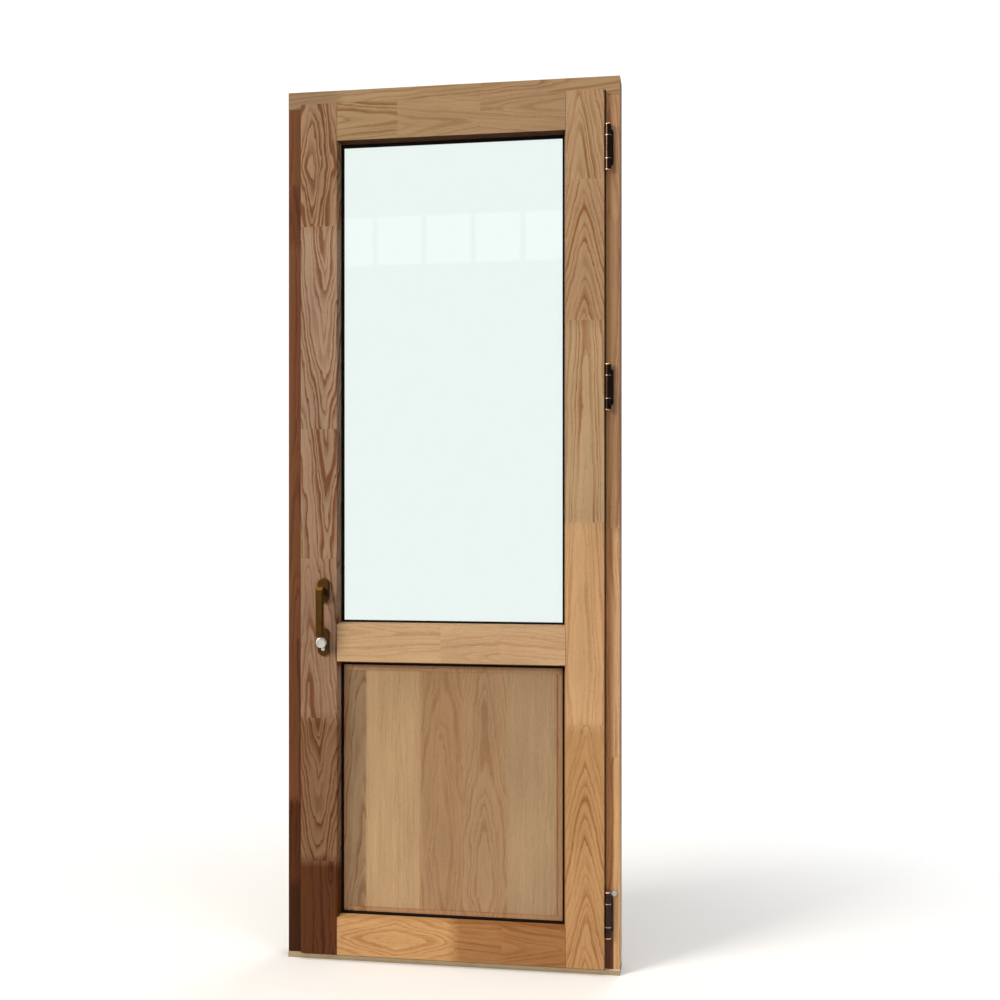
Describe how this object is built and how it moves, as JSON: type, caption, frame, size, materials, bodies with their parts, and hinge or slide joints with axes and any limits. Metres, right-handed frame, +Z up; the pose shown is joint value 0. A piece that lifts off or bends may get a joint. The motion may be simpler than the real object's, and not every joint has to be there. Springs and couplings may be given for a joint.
{
  "type": "wooden entry door",
  "caption": "Timber entry door in its frame: tall leaf with a glass pane over a fielded panel, knuckle hinges, upright lever, thumb-turn bolt and rollers on a drive bar.",
  "frame": {"origin": "on the floor, midway between the jambs, in the plane of the frame's room-side face", "axes": "+X to the hinge side as seen from the room, +Y out of the house, +Z up"},
  "size_m": [0.92, 0.16, 2.403],
  "materials": {
    "leaf_oak": "clear satin lacquer",
    "panel_oak": "clear satin lacquer",
    "frame_oak": "clear satin lacquer",
    "glass": "clear float",
    "spacer": "mill",
    "gasket": "matte black",
    "seal": "matte dark brown",
    "threshold": "sand anodised",
    "bronze": "satin olive bronze",
    "dark_bronze": "dark bronze",
    "copper_trim": "satin copper",
    "satin_steel": "satin",
    "zinc": "zinc plated"
  },
  "bodies": {
    "frame": {"hinge_jamb": "frame_oak", "lock_jamb": "frame_oak", "head": "frame_oak", "threshold": "threshold", "frame_seal": "seal", "bottom_hinge_frame_leaf": "dark_bronze", "middle_hinge_frame_leaf": "dark_bronze", "top_hinge_frame_leaf": "dark_bronze", "hinge_pins": "zinc", "hinge_washers": "copper_trim", "hinge_caps": "copper_trim", "hinge_adjuster": "zinc", "keep_screws": "zinc", "lower_keep": "zinc", "upper_keep": "zinc", "lock_keep": "zinc"},
    "leaf": {"hinge_stile": "leaf_oak", "lock_stile": "leaf_oak", "top_rail": "leaf_oak", "middle_rail": "leaf_oak", "bottom_rail": "leaf_oak", "bottom_seal": "seal", "inner_pane": "glass", "outer_pane": "glass", "glass_spacer": "spacer", "glass_inner_gasket": "gasket", "panel_inner_gasket": "gasket", "glass_outer_gasket": "gasket", "panel_outer_gasket": "gasket", "door_panel": "panel_oak", "glass_bottom_bead": "leaf_oak", "glass_top_bead": "leaf_oak", "glass_lock_side_bead": "leaf_oak", "glass_hinge_side_bead": "leaf_oak", "panel_bottom_bead": "leaf_oak", "panel_top_bead": "leaf_oak", "panel_lock_side_bead": "leaf_oak", "panel_hinge_side_bead": "leaf_oak", "bottom_hinge_sash_leaf": "dark_bronze", "middle_hinge_sash_leaf": "dark_bronze", "top_hinge_sash_leaf": "dark_bronze", "lock_case": "zinc", "lock_case_cover": "zinc", "faceplate_screws": "zinc", "lock_faceplate": "satin_steel", "lock_cylinder": "satin_steel", "inner_rose": "bronze", "outer_rose": "bronze", "rose_bolts": "zinc", "inner_escutcheon": "bronze", "outer_escutcheon": "bronze"},
    "lever": {"inner_lever": "bronze", "outer_lever": "bronze", "spindle": "zinc", "follower": "zinc"},
    "thumbturn": {"thumbturn_knob": "satin_steel", "cylinder_cam": "zinc"},
    "drive": {"drive_bar": "zinc", "locking_rollers": "zinc"},
    "deadbolt": {"deadbolt": "zinc"}
  },
  "joints": [
    {"name": "leaf_swing", "type": "hinge", "parent": "frame", "child": "leaf", "pos_m": [0.429, -0.0095, 1.2], "axis": [0, 0, 1], "range_deg": [0, 110]},
    {"name": "lever_turn", "type": "hinge", "parent": "leaf", "child": "lever", "pos_m": [-0.353, 0, 1.021], "axis": [0, -1, 0], "range_deg": [0, 90]},
    {"name": "drive_slide", "type": "slide", "parent": "leaf", "child": "drive", "axis": [0, 0, -1], "range_m": [0, 0.018]},
    {"name": "thumbturn_turn", "type": "hinge", "parent": "leaf", "child": "thumbturn", "pos_m": [-0.353, 0, 0.879], "axis": [0, -1, 0], "range_deg": [0, 360]},
    {"name": "deadbolt_slide", "type": "slide", "parent": "leaf", "child": "deadbolt", "axis": [-1, 0, 0], "range_m": [0, 0.02]}
  ],
  "couplings": [
    {"joint": "drive_slide", "follows": "lever_turn", "m_per_rad": 0.011459},
    {"joint": "deadbolt_slide", "follows": "thumbturn_turn", "m_per_rad": 0.0031831}
  ]
}
